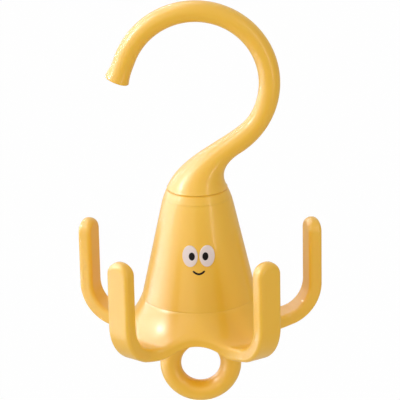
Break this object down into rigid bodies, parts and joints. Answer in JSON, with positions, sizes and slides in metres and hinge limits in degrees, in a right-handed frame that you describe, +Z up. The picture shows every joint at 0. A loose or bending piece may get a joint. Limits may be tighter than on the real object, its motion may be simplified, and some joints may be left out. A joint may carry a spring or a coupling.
{
  "type": "rotating closet hook",
  "caption": "Hanging storage hook for a closet rod: a round hook turns on a tapering body with upturned arms and an eye below for a second one.",
  "frame": {"origin": "the rod seat: the top of the hook's inner side, on the swivel axis", "axes": "+Z is up along the swivel axis, the hook lies in the XZ plane and opens towards -X, and the face looks towards -Y"},
  "size_m": [0.1175, 0.1138, 0.1996],
  "materials": {
    "yellow_plastic": "glossy moulded plastic, coloured through",
    "white_plastic": "plain low-friction plastic",
    "steel": "zinc-plated steel",
    "eye_white": "smooth white plastic",
    "black_print": "black pad print"
  },
  "bodies": {
    "hook_side": {"hook": "yellow_plastic", "pivot_screw": "steel", "pivot_washer": "steel"},
    "lower_body": {"swivel_collar": "yellow_plastic", "thrust_washer": "white_plastic", "bearing_washer": "white_plastic", "cone_shell": "yellow_plastic", "arm_base": "yellow_plastic", "bottom_ring": "yellow_plastic", "plate_screw_1": "steel", "plate_screw_2": "steel", "plate_screw_3": "steel", "eye_left": "eye_white", "eye_right": "eye_white", "pupil_left": "black_print", "pupil_right": "black_print", "smile": "black_print"}
  },
  "joints": [
    {"name": "hook_swivel", "type": "hinge", "parent": "hook_side", "child": "lower_body", "pos_m": [0, 0, -0.08075], "axis": [0, 0, 1], "continuous": true}
  ]
}
